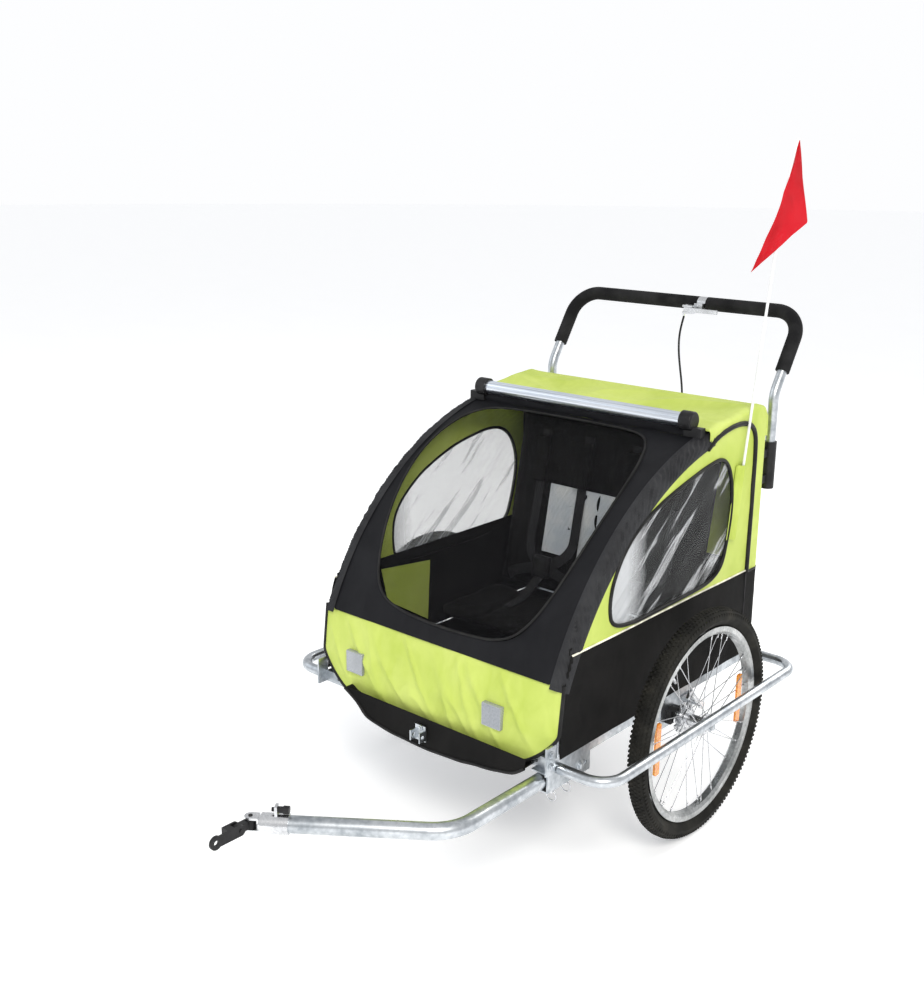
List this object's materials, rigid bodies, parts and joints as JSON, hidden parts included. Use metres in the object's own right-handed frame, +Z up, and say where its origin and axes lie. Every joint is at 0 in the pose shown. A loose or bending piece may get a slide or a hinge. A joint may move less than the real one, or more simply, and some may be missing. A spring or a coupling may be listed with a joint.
{
  "type": "child bicycle trailer",
  "caption": "Child bicycle trailer with a cloth cabin on a tube frame, spoked wheels, side drawbar with hitch, push handle with brake lever, and safety flag.",
  "frame": {"origin": "on the ground under the middle of the whole trailer's box", "axes": "+Z up, the front and the drawbar face -Y, the trailer's own left side is +X"},
  "size_m": [0.8752, 1.4844, 1.4311],
  "materials": {
    "galvanised_steel": "bright galvanised tube",
    "black_steel": "black powder coat",
    "aluminium": "satin anodised",
    "spoke_steel": "bright wire",
    "black_plastic": "moulded, matt",
    "grip_foam": "closed-cell foam",
    "tyre_rubber": "treaded rubber",
    "amber_reflector": "prismatic plastic",
    "silver_reflector": "prismatic foil",
    "cable_sheath": "extruded sheath",
    "flag_pole_white": "glass-fibre rod",
    "flag_red": "coated nylon",
    "lime_cloth": "coated polyester weave",
    "black_cloth": "coated polyester weave",
    "black_webbing": "woven strap",
    "clear_film": "clear PVC film"
  },
  "bodies": {
    "trailer": {"left_rail": "galvanised_steel", "right_rail": "galvanised_steel", "cross_tubes": "galvanised_steel", "side_arcs": "black_steel", "rear_frame": "black_steel", "front_bar": "aluminium", "front_bar_caps": "black_plastic", "left_wheel_guard": "galvanised_steel", "right_wheel_guard": "galvanised_steel", "corner_brackets": "galvanised_steel", "nose_wheel_bracket": "galvanised_steel", "axle_brackets": "galvanised_steel", "axle_housings": "black_plastic", "axles": "galvanised_steel", "drawbar": "galvanised_steel", "drawbar_channel": "galvanised_steel", "hitch_socket": "galvanised_steel", "handle_sleeves": "black_plastic", "brake_cable": "cable_sheath", "flag_pocket": "lime_cloth", "left_side_panel": "lime_cloth", "right_side_panel": "lime_cloth", "side_windows": "clear_film", "front_cover": "black_cloth", "front_panel": "lime_cloth", "roof": "lime_cloth", "back_panel": "black_cloth", "belly_panel": "black_cloth", "floor_panel": "black_cloth", "seat_cushion": "black_cloth", "backrest": "black_cloth", "harness_straps": "black_webbing", "front_reflectors": "silver_reflector"},
    "handle": {"handle_tube": "galvanised_steel", "handle_grip": "grip_foam", "lever_clamp": "aluminium"},
    "brake_lever": {"brake_lever": "aluminium"},
    "brake_rod": {"brake_rod": "galvanised_steel"},
    "hitch_knob": {"hitch_knob": "black_plastic"},
    "hitch_swivel": {"hitch_swivel": "galvanised_steel"},
    "hitch_yoke": {"hitch_yoke": "black_steel"},
    "hitch_arm": {"hitch_arm": "black_steel"},
    "flag": {"flag_pole": "flag_pole_white", "flag_pennant": "flag_red"},
    "left_wheel": {"left_tyre": "tyre_rubber", "left_rim": "aluminium", "left_spokes": "spoke_steel", "left_hub": "aluminium", "left_reflectors": "amber_reflector", "left_brake_disc": "black_steel"},
    "right_wheel": {"right_tyre": "tyre_rubber", "right_rim": "aluminium", "right_spokes": "spoke_steel", "right_hub": "aluminium", "right_reflectors": "amber_reflector", "right_brake_disc": "black_steel"},
    "front_pin": {"front_pin": "galvanised_steel"},
    "front_ring": {"front_ring": "galvanised_steel"},
    "rear_pin": {"rear_pin": "galvanised_steel"},
    "rear_ring": {"rear_ring": "galvanised_steel"}
  },
  "joints": [
    {"name": "left_wheel_spin", "type": "hinge", "parent": "trailer", "child": "left_wheel", "pos_m": [0.387, 0.23925, 0.25], "axis": [1, 0, 0], "continuous": true},
    {"name": "right_wheel_spin", "type": "hinge", "parent": "trailer", "child": "right_wheel", "pos_m": [-0.387, 0.23925, 0.25], "axis": [1, 0, 0], "continuous": true},
    {"name": "handle_height", "type": "slide", "parent": "trailer", "child": "handle", "axis": [0, 0, 1], "range_m": [-0.03, 0.06], "deforming": ["brake_cable"]},
    {"name": "brake_lever_pull", "type": "hinge", "parent": "handle", "child": "brake_lever", "pos_m": [0.03, 0.68825, 1.043], "axis": [0, 0, 1], "range_deg": [0, 15], "stiffness_Nm_per_rad": 0.5, "springref_deg": -11.46},
    {"name": "brake_rod_turn", "type": "hinge", "parent": "trailer", "child": "brake_rod", "pos_m": [0, 0.31425, 0.252], "axis": [1, 0, 0], "range_deg": [0, 10]},
    {"name": "hitch_knob_turn", "type": "hinge", "parent": "trailer", "child": "hitch_knob", "pos_m": [0.04123, -0.61539, 0.28], "axis": [-0.8022, -0.5971, 0], "continuous": true},
    {"name": "hitch_roll", "type": "hinge", "parent": "trailer", "child": "hitch_swivel", "pos_m": [0.03, -0.62375, 0.252], "axis": [-0.8022, -0.5971, 0], "range_deg": [-60, 60]},
    {"name": "hitch_yaw", "type": "hinge", "parent": "hitch_swivel", "child": "hitch_yoke", "pos_m": [0.00112, -0.64525, 0.252], "axis": [0, 0, 1], "range_deg": [-60, 50]},
    {"name": "hitch_pitch", "type": "hinge", "parent": "hitch_yoke", "child": "hitch_arm", "pos_m": [0.00112, -0.67525, 0.252], "axis": [1, 0, 0], "range_deg": [-30, 30]},
    {"name": "flag_lift", "type": "slide", "parent": "trailer", "child": "flag", "axis": [0, 0.1582, 0.9874], "range_m": [0, 0.14]},
    {"name": "front_pin_pull", "type": "slide", "parent": "trailer", "child": "front_pin", "axis": [0, 0, -1], "range_m": [0, 0.05]},
    {"name": "front_ring_swing", "type": "hinge", "parent": "front_pin", "child": "front_ring", "pos_m": [0.292, -0.14575, 0.217], "axis": [1, 0, 0], "range_deg": [-80, 80]},
    {"name": "rear_pin_pull", "type": "slide", "parent": "trailer", "child": "rear_pin", "axis": [0, 0, -1], "range_m": [0, 0.05]},
    {"name": "rear_ring_swing", "type": "hinge", "parent": "rear_pin", "child": "rear_ring", "pos_m": [0.292, -0.09875, 0.217], "axis": [1, 0, 0], "range_deg": [-80, 80]}
  ],
  "couplings": [
    {"joint": "brake_rod_turn", "follows": "brake_lever_pull", "ratio": 0.66667}
  ]
}
